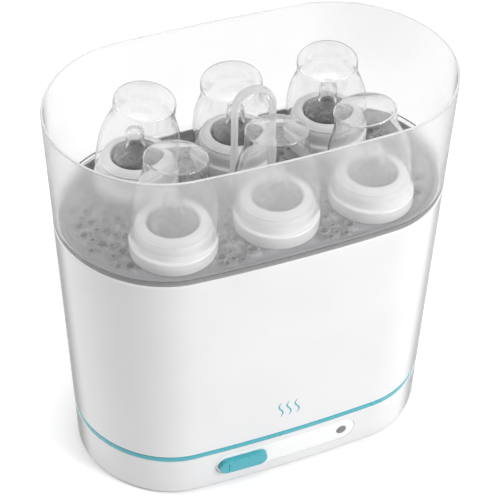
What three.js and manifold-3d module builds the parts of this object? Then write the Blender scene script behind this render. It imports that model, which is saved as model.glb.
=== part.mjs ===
// Electric steam sterilizer for baby bottles, in millimetres.
// +Z is up, the front with its power button faces -Y, and the origin is the middle of the footprint on the
// table.
// From the table up: base with heater, white lower basket, grey steam tray, frosted upper wall.
// Six bottle tops (screw ring, teat and dome cap) stand on the tray, and the tongs hang in its middle slot.
import * as THREE from "three";
import { mergeVertices } from "three/addons/utils/BufferGeometryUtils.js";
import Module from "manifold-3d";

const wasm = await Module();
wasm.setup();

// ---- Driving dimensions ----

// The body's outline is a stadium with bowed long sides that widens slowly with height.
const OUTLINE = { halfLength: 138.9, halfDepth: 69.2, bow: 8.2, flare: 0.02, endRatio: 0.947 };
const END_SEGMENTS = 10;
const SIDE_SEGMENTS = 4;

const GROUND_GAP = 1.5; // the feet's height
const SKIRT_TOP = 37.2; // where the base's outer skirt ends and the accent ring starts
const BASE_TOP = 41.7;
const BASKET_FOOT = 42;
const SEAM = 217; // where the lower basket ends and the upper wall starts; the tray's floor is level with it
const RIM = 306;
const WALL = 2.4;

const BASIN_FLOOR = 33.3;
const PLATE_UNDERSIDE = 31.2;
const SPREADER_UNDERSIDE = 28.6;
const BASIN_HOLE_RADIUS = 50;
const BOSS = { x: 95, y: 40, radius: 4, pilot: 1.7, foot: 8 };
const FOOT = { x: 112, y: 30, radius: 9 };

const PANEL = { length: 115, height: 21, z: 22, gap: 0.35 };
const BUTTON = { x: -36, length: 38, height: 14.5, proud: 4 };
const BUTTON_FLANGE_BACK = -70.4;
const SWITCH_FRONT = -66;
const SPRING = { coil: 3.6, wire: 0.25, turns: 2, stepsPerTurn: 10, gap: 0.1 }; // coil and wire are radii
const LAMP = { x: 46, radius: 4.5 };
const INLET = { x: 55, z: 16, length: 27, height: 19, depth: 21, face: 77.4 };
const INLET_WALL = 2;
const SOCKET_DEPTH = 15;

const TRAY_THICKNESS = 2.2;
const SEATS = { columns: [-73, 2, 74], row: 38 };
const TONGS = { top: 304, radius: 15.5, strip: 3, width: 7, gripWidth: 10, tip: 148, split: 0.3 };

// How far each dome cap's top leans over its ring, since the caps are only laid on: x and y in millimetres.
const CAP_LEAN = {
  rear_left: [6, -7],
  rear_middle: [-6, -6],
  rear_right: [-6, -8],
  front_left: [5, 5],
  front_middle: [2, 8],
  front_right: [-6, 7],
};

// ---- Materials ----

const material = (color, roughness, metalness = 0, opacity = 1) =>
  new THREE.MeshStandardMaterial({ color, roughness, metalness, opacity, transparent: opacity < 1 });

const MATERIAL = {
  whiteShell: material(0xf3f4f6, 0.32),
  frosted: material(0xeef0f3, 0.45, 0, 0.45),
  tray: material(0x9b9ca1, 0.5),
  teal: material(0x45aebb, 0.35),
  ringWhite: material(0xfafafa, 0.4),
  clearCap: material(0xf4f6f8, 0.08, 0, 0.25),
  silicone: material(0xf0f2f2, 0.25, 0, 0.35),
  tongs: material(0xe9eaec, 0.3, 0, 0.6),
  lamp: material(0x8d8e90, 0.3),
  steel: material(0xc9cbcd, 0.25, 1),
  aluminium: material(0xb9bbbe, 0.4, 1),
  blackPlastic: material(0x1e1f21, 0.55),
  rubber: material(0x5a5c5f, 0.8),
  seal: material(0xd8d9d6, 0.7),
  board: material(0x1f6b45, 0.5),
  brass: material(0xc4a258, 0.3, 1),
  wireBrown: material(0x6b4429, 0.6),
  wireBlue: material(0x2f62a8, 0.6),
  wireGreen: material(0x3f8f3c, 0.6),
};

// ---- Solid helpers ----

function solidOf(geometry) {
  const bare = geometry.clone();
  bare.deleteAttribute("normal");
  bare.deleteAttribute("uv");
  const merged = mergeVertices(bare, 1e-4);
  return new wasm.Manifold(
    new wasm.Mesh({
      numProp: 3,
      vertProperties: merged.attributes.position.array,
      triVerts: new Uint32Array(merged.index.array),
    }),
  );
}

function geometryOf(solid) {
  const mesh = solid.getMesh();
  const geometry = new THREE.BufferGeometry();
  geometry.setAttribute("position", new THREE.BufferAttribute(mesh.vertProperties, 3));
  geometry.setIndex(new THREE.BufferAttribute(mesh.triVerts, 1));
  return geometry;
}

const join = (...geometries) => geometryOf(geometries.map(solidOf).reduce((a, b) => a.add(b)));

const cut = (geometry, ...tools) =>
  geometryOf(tools.map(solidOf).reduce((a, b) => a.subtract(b), solidOf(geometry)));

const common = (a, b) => geometryOf(solidOf(a).intersect(solidOf(b)));

function signedArea(profile) {
  return profile.reduce((sum, [x, y], i) => {
    const [nextX, nextY] = profile[(i + 1) % profile.length];
    return sum + (x * nextY - nextX * y) / 2;
  }, 0);
}

// A point of the outline at height z: end is the angle round a rounded end, or null on a bowed side.
function outlinePoint({ side, along, angle }, z, inset) {
  const halfLength = OUTLINE.halfLength + OUTLINE.flare * z - inset;
  const halfDepth = OUTLINE.halfDepth + OUTLINE.flare * z - inset;
  const endLength = halfDepth * OUTLINE.endRatio;
  const straight = halfLength - endLength;
  const x = along * straight + side * endLength * Math.cos(angle);
  const depth = halfDepth + OUTLINE.bow * (1 - (x / halfLength) ** 2);
  return [x, Math.sin(angle) * depth];
}

// The stations round the outline, counterclockwise from the middle of the front's right-hand end.
function outlineStations() {
  const stations = [];
  for (const side of [1, -1]) {
    for (let i = 0; i <= END_SEGMENTS; i += 1) {
      const turn = Math.PI * (i / END_SEGMENTS - 0.5);
      stations.push({ side, along: side, angle: side * turn });
    }
    for (let i = 1; i < SIDE_SEGMENTS; i += 1) {
      stations.push({ side: 0, along: side * (1 - (2 * i) / SIDE_SEGMENTS), angle: (side * Math.PI) / 2 });
    }
  }
  return stations;
}

const STATIONS = outlineStations();

// Sweeps a closed profile of [inset, z] points round the outline into one closed ring.
function outlineRing(profile) {
  const points = signedArea(profile) > 0 ? [...profile].reverse() : profile;
  const positions = STATIONS.flatMap((station) =>
    points.flatMap(([inset, z]) => [...outlinePoint(station, z, inset), z]),
  );
  const rows = STATIONS.length;
  const count = points.length;
  const index = [];
  for (let row = 0; row < rows; row += 1) {
    const next = (row + 1) % rows;
    for (let k = 0; k < count; k += 1) {
      const a = row * count + k;
      const b = row * count + ((k + 1) % count);
      const c = next * count + ((k + 1) % count);
      const d = next * count + k;
      index.push(a, d, b, b, d, c);
    }
  }
  const geometry = new THREE.BufferGeometry();
  geometry.setAttribute("position", new THREE.Float32BufferAttribute(positions, 3));
  geometry.setIndex(index);
  return geometry;
}

// A flat plate that fills the outline, from z up by thickness, with the given holes.
function outlinePlate(z, thickness, inset, holes = []) {
  const shape = new THREE.Shape(STATIONS.map((s) => new THREE.Vector2(...outlinePoint(s, z, inset))));
  shape.holes = holes;
  const settings = { depth: thickness, bevelEnabled: false, curveSegments: 4 };
  return new THREE.ExtrudeGeometry(shape, settings).translate(0, 0, z);
}

function roundHole(x, y, radius, sides) {
  const angles = Array.from({ length: sides }, (_, i) => (-2 * Math.PI * i) / sides);
  return new THREE.Path(
    angles.map((a) => new THREE.Vector2(x + radius * Math.cos(a), y + radius * Math.sin(a))),
  );
}

function pill(length, height) {
  const shape = new THREE.Shape();
  const r = height / 2;
  const straight = length / 2 - r;
  shape.absarc(straight, 0, r, -Math.PI / 2, Math.PI / 2, false);
  shape.absarc(-straight, 0, r, Math.PI / 2, (3 * Math.PI) / 2, false);
  shape.closePath();
  return shape;
}

// A prism of a front-view shape: it starts at yBack and runs towards the front by depth.
function frontPrism(shape, x, z, yBack, depth, curveSegments = 6) {
  const geometry = new THREE.ExtrudeGeometry(shape, { depth, bevelEnabled: false, curveSegments });
  return geometry.rotateX(Math.PI / 2).translate(x, yBack, z);
}

function pillHole(x, y, length, height) {
  const points = pill(length, height).getPoints(2).reverse();
  return new THREE.Path(points.map((p) => new THREE.Vector2(p.x + x, p.y + y)));
}

function box(x0, x1, y0, y1, z0, z1) {
  const geometry = new THREE.BoxGeometry(x1 - x0, y1 - y0, z1 - z0);
  return geometry.translate((x0 + x1) / 2, (y0 + y1) / 2, (z0 + z1) / 2);
}

function cylinder(x, y, z0, z1, radius, sides = 16) {
  const geometry = new THREE.CylinderGeometry(radius, radius, z1 - z0, sides);
  return geometry.rotateX(Math.PI / 2).translate(x, y, (z0 + z1) / 2);
}

function frontCylinder(x, z, y0, y1, radius, sides = 16) {
  const geometry = new THREE.CylinderGeometry(radius, radius, y1 - y0, sides);
  return geometry.translate(x, (y0 + y1) / 2, z);
}

// Turns a profile of [radius, height] points round the Z axis.
function turned(profile, segments) {
  const points = signedArea(profile) > 0 ? profile : [...profile].reverse();
  const closed = points[0][0] > 0 ? [...points, points[0]] : points;
  const geometry = new THREE.LatheGeometry(
    closed.map(([r, h]) => new THREE.Vector2(r, h)),
    segments,
  );
  return geometry.rotateX(Math.PI / 2);
}

function tube(points, radius, steps, sides = 6) {
  const section = new THREE.Shape(
    Array.from({ length: sides }, (_, i) => {
      const angle = (2 * Math.PI * i) / sides;
      return new THREE.Vector2(radius * Math.cos(angle), radius * Math.sin(angle));
    }),
  );
  const extrudePath = new THREE.CatmullRomCurve3(points.map((p) => new THREE.Vector3(...p)));
  return new THREE.ExtrudeGeometry(section, { steps, bevelEnabled: false, extrudePath });
}

const root = new THREE.Group();

function addPart(name, geometry, partMaterial, parent = root) {
  const mesh = new THREE.Mesh(geometry, partMaterial);
  mesh.name = name;
  parent.add(mesh);
  return mesh;
}

const eachCorner = (make) => {
  let number = 0;
  for (const sx of [-1, 1]) {
    for (const sy of [-1, 1]) {
      number += 1;
      make(number, sx, sy);
    }
  }
};

// The y of the body's front face at x and z.
function frontFaceY(x, z) {
  const halfLength = OUTLINE.halfLength + OUTLINE.flare * z;
  return -(OUTLINE.halfDepth + OUTLINE.flare * z + OUTLINE.bow * (1 - (x / halfLength) ** 2));
}

// ---- Base ----

function baseHousing() {
  const skirt = outlineRing([
    [0, GROUND_GAP],
    [0, SKIRT_TOP],
    [3, SKIRT_TOP],
    [3, BASE_TOP],
    [4.4, BASE_TOP],
    [4.4, SKIRT_TOP - 0.8],
    [2.6, SKIRT_TOP - 2.6],
    [2.6, GROUND_GAP],
  ]);
  const panelOpening = frontPrism(pill(PANEL.length, PANEL.height), 0, PANEL.z, -60, 30);
  const inletOpening = box(
    INLET.x - INLET.length / 2 - 0.3,
    INLET.x + INLET.length / 2 + 0.3,
    60,
    90,
    INLET.z - INLET.height / 2 - 0.3,
    INLET.z + INLET.height / 2 + 0.3,
  );
  return cut(skirt, panelOpening, inletOpening);
}

function accentRing() {
  return outlineRing([
    [0.4, SKIRT_TOP + 0.2],
    [0.4, BASE_TOP - 0.1],
    [2.8, BASE_TOP - 0.1],
    [2.8, SKIRT_TOP + 0.2],
  ]);
}

// The moulded tub that holds the water round the heating plate, with four screw bosses under it.
function waterBasin() {
  const floorFoot = BASIN_FLOOR - 2;
  const wall = outlineRing([
    [4.7, floorFoot],
    [4.7, BASE_TOP],
    [5.9, BASE_TOP],
    [5.9, BASIN_FLOOR],
    [9, BASIN_FLOOR],
    [9, floorFoot],
  ]);
  const floor = outlinePlate(floorFoot, 2, 8.5, [roundHole(0, 0, BASIN_HOLE_RADIUS, 28)]);
  const bosses = [];
  const pilots = [];
  eachCorner((_, sx, sy) => {
    bosses.push(cylinder(sx * BOSS.x, sy * BOSS.y, BOSS.foot, floorFoot + 1, BOSS.radius, 12));
    pilots.push(cylinder(sx * BOSS.x, sy * BOSS.y, BOSS.foot - 1, 24, BOSS.pilot, 10));
  });
  return cut(join(wall, floor, ...bosses), ...pilots);
}

function bottomCover() {
  const holes = [];
  eachCorner((_, sx, sy) => holes.push(roundHole(sx * BOSS.x, sy * BOSS.y, 1.9, 10)));
  for (const side of [-1, 1]) {
    for (let i = -2; i <= 2; i += 1) holes.push(pillHole(side * 20, i * 9, 28, 4));
  }
  return outlinePlate(GROUND_GAP, 2, 3, holes);
}

function coverScrew() {
  return turned(
    [
      [0, 0],
      [2.6, 0],
      [3.2, 0.6],
      [3.2, 0.9],
      [1.4, 0.9],
      [1.4, 15],
      [0, 16.5],
    ],
    8,
  );
}

function heatingPlate() {
  return turned(
    [
      [0, PLATE_UNDERSIDE],
      [44, PLATE_UNDERSIDE],
      [46.4, 34.2],
      [56.5, 34.2],
      [56.5, 35.4],
      [45.6, 35.4],
      [43.4, PLATE_UNDERSIDE + 1.2],
      [0, PLATE_UNDERSIDE + 1.2],
    ],
    28,
  );
}

function heaterSeal() {
  return turned(
    [
      [47.2, 30.8],
      [49.6, 30.8],
      [49.6, BASIN_FLOOR],
      [55.5, BASIN_FLOOR],
      [55.5, 34.2],
      [47.2, 34.2],
    ],
    28,
  );
}

// A sheathed heater bent into a C, with both ends turned out to the back and down.
function heatingElement() {
  const radius = 33;
  const z = SPREADER_UNDERSIDE - 3.4;
  const points = [[7, 46, z - 8], [7, 42, z - 3]];
  for (let degrees = 68; degrees >= -248; degrees -= 21) {
    const angle = THREE.MathUtils.degToRad(degrees);
    points.push([radius * Math.cos(angle), radius * Math.sin(angle), z]);
  }
  points.push([-7, 42, z - 3], [-7, 46, z - 8]);
  return tube(points, 3.2, 28, 6);
}

function thermostat() {
  const can = cylinder(0, 0, 20.2, SPREADER_UNDERSIDE, 8.5, 18);
  const tabs = [-1, 1].map((side) => box(side * 6 - 2.5, side * 6 + 2.5, -0.4, 0.4, 14, 20.6));
  return join(can, ...tabs);
}

// A sheet-metal bridge that presses the thermostat's flange ring up against the spreader.
function thermostatBracket() {
  const bridge = new THREE.Shape();
  bridge.moveTo(-24, 28.6);
  bridge.lineTo(-24, 27.4);
  bridge.lineTo(-15, 27.4);
  bridge.lineTo(-11, 24);
  bridge.lineTo(11, 24);
  bridge.lineTo(15, 27.4);
  bridge.lineTo(24, 27.4);
  bridge.lineTo(24, 28.6);
  bridge.lineTo(14.4, 28.6);
  bridge.lineTo(10.4, 25.2);
  bridge.lineTo(-10.4, 25.2);
  bridge.lineTo(-14.4, 28.6);
  const strip = frontPrism(bridge, 0, 0, 12, 24, 1);
  return cut(strip, cylinder(0, 0, 18, 30, 8.8, 18));
}

function controlBoard() {
  return box(-58, 58, -56.4, -54.8, GROUND_GAP + 2, 28);
}

function switchBody() {
  const body = box(BUTTON.x - 7, BUTTON.x + 7, SWITCH_FRONT, -56.4, PANEL.z - 6, PANEL.z + 6);
  return cut(body, frontCylinder(BUTTON.x, PANEL.z, -67, -59, 2.8, 12));
}

function statusLed() {
  return join(
    frontCylinder(LAMP.x, PANEL.z, -58, -56.4, 3, 12),
    frontCylinder(LAMP.x, PANEL.z, -63, -57, 2.4, 12),
  );
}

function controlPanel() {
  const face = common(
    outlineRing([
      [0, 5],
      [0, 36],
      [2.9, 36],
      [2.9, 5],
    ]),
    frontPrism(pill(PANEL.length - 2 * PANEL.gap, PANEL.height - 2 * PANEL.gap), 0, PANEL.z, -60, 30),
  );
  const flange = common(
    outlineRing([
      [2.8, 4],
      [2.8, 36],
      [4.3, 36],
      [4.3, 4],
    ]),
    frontPrism(pill(PANEL.length + 4, PANEL.height + 4), 0, PANEL.z, -60, 30),
  );
  const buttonHole = frontPrism(pill(BUTTON.length + 0.8, BUTTON.height + 0.8), BUTTON.x, PANEL.z, -60, 30);
  return cut(join(face, flange), buttonHole, frontCylinder(LAMP.x, PANEL.z, -90, -60, LAMP.radius + 0.3, 18));
}

function indicatorLens() {
  const face = frontFaceY(LAMP.x, PANEL.z);
  return join(
    frontCylinder(LAMP.x, PANEL.z, face, -68, LAMP.radius, 18),
    frontCylinder(LAMP.x, PANEL.z, -71.5, -70, LAMP.radius + 1.6, 18),
  );
}

function powerButton() {
  const front = frontFaceY(BUTTON.x, PANEL.z) - BUTTON.proud;
  const capShape = pill(BUTTON.length, BUTTON.height);
  const flangeShape = pill(BUTTON.length + 4, BUTTON.height + 4);
  const cap = frontPrism(capShape, BUTTON.x, PANEL.z, BUTTON_FLANGE_BACK, BUTTON_FLANGE_BACK - front);
  const flange = frontPrism(flangeShape, BUTTON.x, PANEL.z, BUTTON_FLANGE_BACK, 1.3);
  const plunger = frontCylinder(BUTTON.x, PANEL.z, BUTTON_FLANGE_BACK - 1, -64.5, 2.2, 12);
  return join(cap, flange, plunger);
}

// Two turns of thin wire: more turns, or thicker ones, would bottom out before the button's full travel.
function buttonSpring() {
  const { coil, wire, turns, stepsPerTurn, gap } = SPRING;
  const front = BUTTON_FLANGE_BACK + gap + wire;
  const back = SWITCH_FRONT - gap - wire;
  const steps = turns * stepsPerTurn;
  const points = [];
  for (let i = 0; i <= steps; i += 1) {
    const angle = (2 * Math.PI * i) / stepsPerTurn;
    const y = THREE.MathUtils.lerp(front, back, i / steps);
    points.push([BUTTON.x + coil * Math.cos(angle), y, PANEL.z + coil * Math.sin(angle)]);
  }
  return tube(points, wire, steps, 4);
}

function mainsInlet() {
  const { x, z, length, height, depth, face } = INLET;
  const block = box(x - length / 2, x + length / 2, face - depth, face, z - height / 2, z + height / 2);
  const halfLength = length / 2 - INLET_WALL;
  const halfHeight = height / 2 - INLET_WALL;
  const socketFoot = face - SOCKET_DEPTH;
  const socket = box(x - halfLength, x + halfLength, socketFoot, face + 1, z - halfHeight, z + halfHeight);
  return cut(block, socket);
}

function addInletPins() {
  const pins = { live: [-7, -2], neutral: [7, -2], earth: [0, 3] };
  for (const [name, [dx, dz]] of Object.entries(pins)) {
    const x = INLET.x + dx;
    const z = INLET.z + dz;
    const pin = box(x - 1, x + 1, INLET.face - SOCKET_DEPTH, INLET.face - 4, z - 2, z + 2);
    addPart(`inlet_pin_${name}`, pin, MATERIAL.brass);
  }
}

function addWires() {
  const inletBack = INLET.face - INLET.depth - 1;
  const live = [[48, inletBack, 13], [40, 44, 9], [20, 50, 10], [7, 50, 13], [7, 46.5, 15]];
  const neutral = [[62, inletBack, 13], [68, 30, 8], [60, -20, 8], [44, -44, 10], [38, -53.6, 12]];
  const earth = [[55, inletBack, 19], [52, 40, 14], [34, 10, 12], [22, 0, 18], [19, 0, 26.6]];
  addPart("live_wire", tube(live, 1.1, 10, 5), MATERIAL.wireBrown);
  addPart("neutral_wire", tube(neutral, 1.1, 12, 5), MATERIAL.wireBlue);
  addPart("earth_wire", tube(earth, 1.1, 10, 5), MATERIAL.wireGreen);
}

function addBase() {
  addPart("base_housing", baseHousing(), MATERIAL.whiteShell);
  addPart("accent_ring", accentRing(), MATERIAL.teal);
  addPart("water_basin", waterBasin(), MATERIAL.whiteShell);
  addPart("bottom_cover", bottomCover(), MATERIAL.whiteShell);
  eachCorner((number, sx, sy) => {
    addPart(`foot_${number}`, cylinder(0, 0, 0, GROUND_GAP, FOOT.radius), MATERIAL.rubber).position.set(
      sx * FOOT.x,
      sy * FOOT.y,
      0,
    );
    const screw = addPart(`cover_screw_${number}`, coverScrew(), MATERIAL.steel);
    screw.position.set(sx * BOSS.x, sy * BOSS.y, 0.5);
  });
  addPart("heating_plate", heatingPlate(), MATERIAL.steel);
  addPart("heater_seal", heaterSeal(), MATERIAL.seal);
  addPart("heat_spreader", cylinder(0, 0, SPREADER_UNDERSIDE, PLATE_UNDERSIDE, 42, 32), MATERIAL.aluminium);
  addPart("heating_element", heatingElement(), MATERIAL.steel);
  addPart("thermostat", thermostat(), MATERIAL.blackPlastic);
  addPart("thermostat_bracket", thermostatBracket(), MATERIAL.steel);
  addPart("thermal_fuse", frontCylinder(-8, SPREADER_UNDERSIDE - 2.2, 13, 25, 2.2, 8), MATERIAL.aluminium);
  addPart("control_board", controlBoard(), MATERIAL.board);
  addPart("switch_body", switchBody(), MATERIAL.blackPlastic);
  addPart("status_led", statusLed(), MATERIAL.clearCap);
  addPart("control_panel", controlPanel(), MATERIAL.whiteShell);
  addPart("indicator_lens", indicatorLens(), MATERIAL.lamp);
  addPart("power_button", powerButton(), MATERIAL.teal);
  addPart("button_spring", buttonSpring(), MATERIAL.steel);
  addPart("mains_inlet", mainsInlet(), MATERIAL.blackPlastic);
  addInletPins();
  addWires();
}

// ---- Lower basket, tray and upper wall ----

function lowerBasket() {
  return outlineRing([
    [0, BASKET_FOOT],
    [0, SEAM],
    [WALL, SEAM],
    [WALL, SEAM - 4],
    [9.5, SEAM - 4],
    [9.5, SEAM - 5.5],
    [WALL, SEAM - 13],
    [WALL, 58],
    [8.4, 58],
    [8.4, 34],
    [6.3, 34],
    [6.3, 54],
    [WALL, 50],
    [WALL, BASKET_FOOT],
  ]);
}

function bottleRack() {
  const holes = [];
  for (const x of SEATS.columns) {
    for (const y of [-SEATS.row, SEATS.row]) {
      holes.push(roundHole(x, y, 13, 12));
      for (let i = 0; i < 4; i += 1) {
        const angle = (Math.PI * (i + 0.5)) / 2;
        holes.push(roundHole(x + 24 * Math.cos(angle), y + 24 * Math.sin(angle), 5, 6));
      }
    }
  }
  return outlinePlate(58, 2, 4, holes);
}

// The tray's steam holes, as [x, y, radius, sides].
function trayHoles() {
  const holes = [];
  const inside = (x, y, clear) => {
    const end = OUTLINE.halfLength - OUTLINE.halfDepth - 4;
    const beyond = Math.max(0, Math.abs(x) - end);
    return Math.hypot(beyond, y) < 64 - clear && !(Math.abs(x) < 28 && Math.abs(y) < 11 + clear);
  };
  const free = (x, y, radius) =>
    holes.every(([hx, hy, hr]) => Math.hypot(x - hx, y - hy) > radius + hr + 1.6);
  const add = (x, y, radius, sides) => {
    if (inside(x, y, radius) && free(x, y, radius)) holes.push([x, y, radius, sides]);
  };
  for (const x of SEATS.columns) {
    for (const y of [-SEATS.row, SEATS.row]) {
      add(x, y, 9, 10);
      for (let i = 0; i < 12; i += 1) {
        const angle = (Math.PI * (i + 0.5)) / 6;
        add(x + 34.5 * Math.cos(angle), y + 34.5 * Math.sin(angle), 3.4, 6);
      }
    }
  }
  for (const side of [-1, 1]) {
    for (let column = 0; column < 2; column += 1) {
      for (let row = -2; row <= 2; row += 1) {
        add(side * (112 + 11 * column), (row + column / 2) * 11, 3.4, 6);
      }
    }
  }
  return holes;
}

function steamTray() {
  const floorFoot = SEAM - TRAY_THICKNESS;
  const flange = outlineRing([
    [4.8, SEAM - 3.8],
    [4.8, SEAM + 2.4],
    [6.4, SEAM + 2.4],
    [8.2, SEAM],
    [10, SEAM],
    [10, floorFoot],
    [7.2, floorFoot],
    [7.2, SEAM - 3.8],
  ]);
  const holes = trayHoles().map((hole) => roundHole(...hole));
  const floor = outlinePlate(floorFoot, TRAY_THICKNESS, 9, holes);
  const collarOuter = slotPrism(43.6, 15.6, SEAM - 1, 4.5);
  const collarInner = slotPrism(41, 13, SEAM - 4, 9);
  return cut(join(flange, floor, collarOuter), collarInner);
}

function slotPrism(length, height, z, thickness) {
  const geometry = new THREE.ExtrudeGeometry(pill(length, height), {
    depth: thickness,
    bevelEnabled: false,
    curveSegments: 4,
  });
  return geometry.translate(0, 0, z);
}

function upperWall() {
  return outlineRing([
    [0.2, SEAM + 0.2],
    [0, RIM],
    [1.8, RIM],
    [2, SEAM + 5],
    [4.3, SEAM + 2.8],
    [4.3, SEAM - 3.6],
    [2.8, SEAM - 3.6],
    [2.8, SEAM + 0.2],
  ]);
}

function addVessel() {
  addPart("lower_basket", lowerBasket(), MATERIAL.whiteShell);
  addPart("bottle_rack", bottleRack(), MATERIAL.whiteShell);
  addPart("steam_tray", steamTray(), MATERIAL.tray);
  addPart("upper_wall", upperWall(), MATERIAL.frosted);
}

// ---- Tongs ----

// One arm of the tongs: half of the bend, a straight leg and a hooked tip. side is -1 for left, 1 for right.
function tongsArm(side) {
  const { top, radius, strip, width, gripWidth, tip, split } = TONGS;
  const inner = radius - strip;
  const start = side > 0 ? split : 0;
  const bendZ = top - radius;
  const arm = new THREE.Shape();
  const bendPoint = (r, degrees) => {
    const angle = THREE.MathUtils.degToRad(degrees);
    return [Math.max(start, r * Math.sin(angle)), bendZ + r * Math.cos(angle)];
  };
  arm.moveTo(start, top);
  for (let degrees = 18; degrees <= 90; degrees += 18) arm.lineTo(...bendPoint(radius, degrees));
  arm.lineTo(radius, tip + 11);
  arm.lineTo(radius - 6.5, tip);
  arm.lineTo(radius - 8.5, tip + 2.2);
  arm.lineTo(inner, tip + 12.5);
  for (let degrees = 90; degrees >= 18; degrees -= 18) arm.lineTo(...bendPoint(inner, degrees));
  arm.lineTo(start, top - strip);
  const strap = frontPrism(arm, 0, 0, width / 2, width, 1);
  const grip = box(inner, radius, -gripWidth / 2, gripWidth / 2, tip + 20, 252);
  const geometry = join(strap, grip);
  if (side > 0) return geometry;
  return geometry.rotateZ(Math.PI);
}

function addTongs() {
  addPart("tongs_left_arm", tongsArm(-1), MATERIAL.tongs);
  addPart("tongs_right_arm", tongsArm(1), MATERIAL.tongs);
}

// ---- Bottle tops ----

const RING_LEDGE = 10.3; // the height of the ledge that a dome cap sits on
const RING_UNDERSIDE = 21.6; // the underside of the ring's top, which holds the teat's flange down
const TEAT_FLANGE_TOP = RING_UNDERSIDE - 0.3;

function screwRing() {
  return turned(
    [
      [30, 0],
      [30, RING_LEDGE],
      [27.3, RING_LEDGE],
      [27, 17.5],
      [23.4, 22.9],
      [18, 24],
      [18, RING_UNDERSIDE],
      [25.4, RING_UNDERSIDE],
      [25.4, 8.6],
      [27.9, 8.6],
      [27.9, 0],
    ],
    16,
  );
}

// The teat's wide, low shoulder stands in the ring's hole and carries a narrow nipple.
function teat() {
  return turned(
    [
      [24.6, 20],
      [24.6, TEAT_FLANGE_TOP],
      [17.2, TEAT_FLANGE_TOP],
      [16.2, 23.8],
      [11.6, 27.4],
      [7.7, 30.4],
      [6.5, 35],
      [6.3, 43.6],
      [0, 47],
      [0, 45.4],
      [4.9, 42.7],
      [5.1, 34.4],
      [6.4, 29.2],
      [10.6, 26],
      [14.6, 22.6],
      [15.6, 20],
    ],
    10,
  );
}

const CAP = { rim: 29.8, height: 58.5, topRadius: 21.6 };

function domeCap() {
  const { rim, height, topRadius } = CAP;
  return turned(
    [
      [rim, 0],
      [29, 20],
      [27.4, 29],
      [22.6, 42],
      [topRadius, 48],
      [topRadius, height - 1.4],
      [topRadius - 1.4, height],
      [0, height],
      [0, height - 1.3],
      [topRadius - 1.5, height - 1.3],
      [topRadius - 1.3, 47.4],
      [21.4, 41.3],
      [26.1, 28.4],
      [27.7, 19.8],
      [rim - 1.3, 0],
    ],
    16,
  );
}

// A cap laid on its ring touches the ledge on the side it leans to, and is lifted on the other side.
function leanCap(cap, [leanX, leanY]) {
  const lean = Math.hypot(leanX, leanY);
  const slide = 0.6;
  const tilt = Math.asin((lean - slide) / CAP.height);
  const direction = new THREE.Vector3(leanX / lean, leanY / lean, 0);
  const axis = new THREE.Vector3(0, 0, 1).cross(direction);
  cap.quaternion.setFromAxisAngle(axis, tilt);
  cap.position.copy(direction).multiplyScalar(slide);
  cap.position.z = RING_LEDGE + 0.3 + CAP.rim * Math.sin(tilt);
}

function addBottleTops() {
  const ringGeometry = screwRing();
  const teatGeometry = teat();
  const capGeometry = domeCap();
  const columnNames = ["left", "middle", "right"];
  for (const [rowName, rowSign] of [["front", -1], ["rear", 1]]) {
    columnNames.forEach((columnName, i) => {
      const place = `${rowName}_${columnName}`;
      const top = new THREE.Group();
      top.position.set(SEATS.columns[i], rowSign * SEATS.row, SEAM);
      root.add(top);
      addPart(`screw_ring_${place}`, ringGeometry, MATERIAL.ringWhite, top);
      addPart(`teat_${place}`, teatGeometry, MATERIAL.silicone, top);
      leanCap(addPart(`dome_cap_${place}`, capGeometry, MATERIAL.clearCap, top), CAP_LEAN[place]);
    });
  }
}

addBase();
addVessel();
addTongs();
addBottleTops();

export default root;
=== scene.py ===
"""Looks of the bottle sterilizer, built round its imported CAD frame. Shapes are written in millimetres."""

import math

import bmesh
import bpy
import numpy as np
from mathutils import Matrix, Quaternion, Vector
from mathutils.geometry import delaunay_2d_cdt


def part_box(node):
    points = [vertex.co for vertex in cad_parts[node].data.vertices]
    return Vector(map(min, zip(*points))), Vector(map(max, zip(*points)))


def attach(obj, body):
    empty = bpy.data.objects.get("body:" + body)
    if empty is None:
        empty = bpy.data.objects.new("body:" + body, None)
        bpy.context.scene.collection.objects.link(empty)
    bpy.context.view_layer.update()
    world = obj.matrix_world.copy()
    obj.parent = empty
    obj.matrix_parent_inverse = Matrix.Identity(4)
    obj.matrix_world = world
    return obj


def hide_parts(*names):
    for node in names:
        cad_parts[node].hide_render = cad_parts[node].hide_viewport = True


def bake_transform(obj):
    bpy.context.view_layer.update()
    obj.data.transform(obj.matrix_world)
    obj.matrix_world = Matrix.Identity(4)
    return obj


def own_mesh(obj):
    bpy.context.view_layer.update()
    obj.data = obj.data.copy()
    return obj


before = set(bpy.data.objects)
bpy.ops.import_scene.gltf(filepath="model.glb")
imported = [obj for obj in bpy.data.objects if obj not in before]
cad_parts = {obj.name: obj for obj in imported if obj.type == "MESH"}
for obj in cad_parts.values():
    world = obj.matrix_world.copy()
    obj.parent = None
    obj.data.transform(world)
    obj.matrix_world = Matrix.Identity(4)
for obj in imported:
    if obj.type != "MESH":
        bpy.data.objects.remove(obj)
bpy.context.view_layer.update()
MM = 0.001

# ---- Driving dimensions, in millimetres ----

HALF_LENGTH, HALF_DEPTH, BOW, FLARE, END_RATIO = 138.9, 69.2, 8.2, 0.02, 0.947
END_STEPS, SIDE_STEPS = 44, 22


def node_mm(name):
    low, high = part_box(name)
    return [v / MM for v in low], [v / MM for v in high]


def middle_mm(name):
    low, high = node_mm(name)
    return [(a + b) / 2 for a, b in zip(low, high)]


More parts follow.
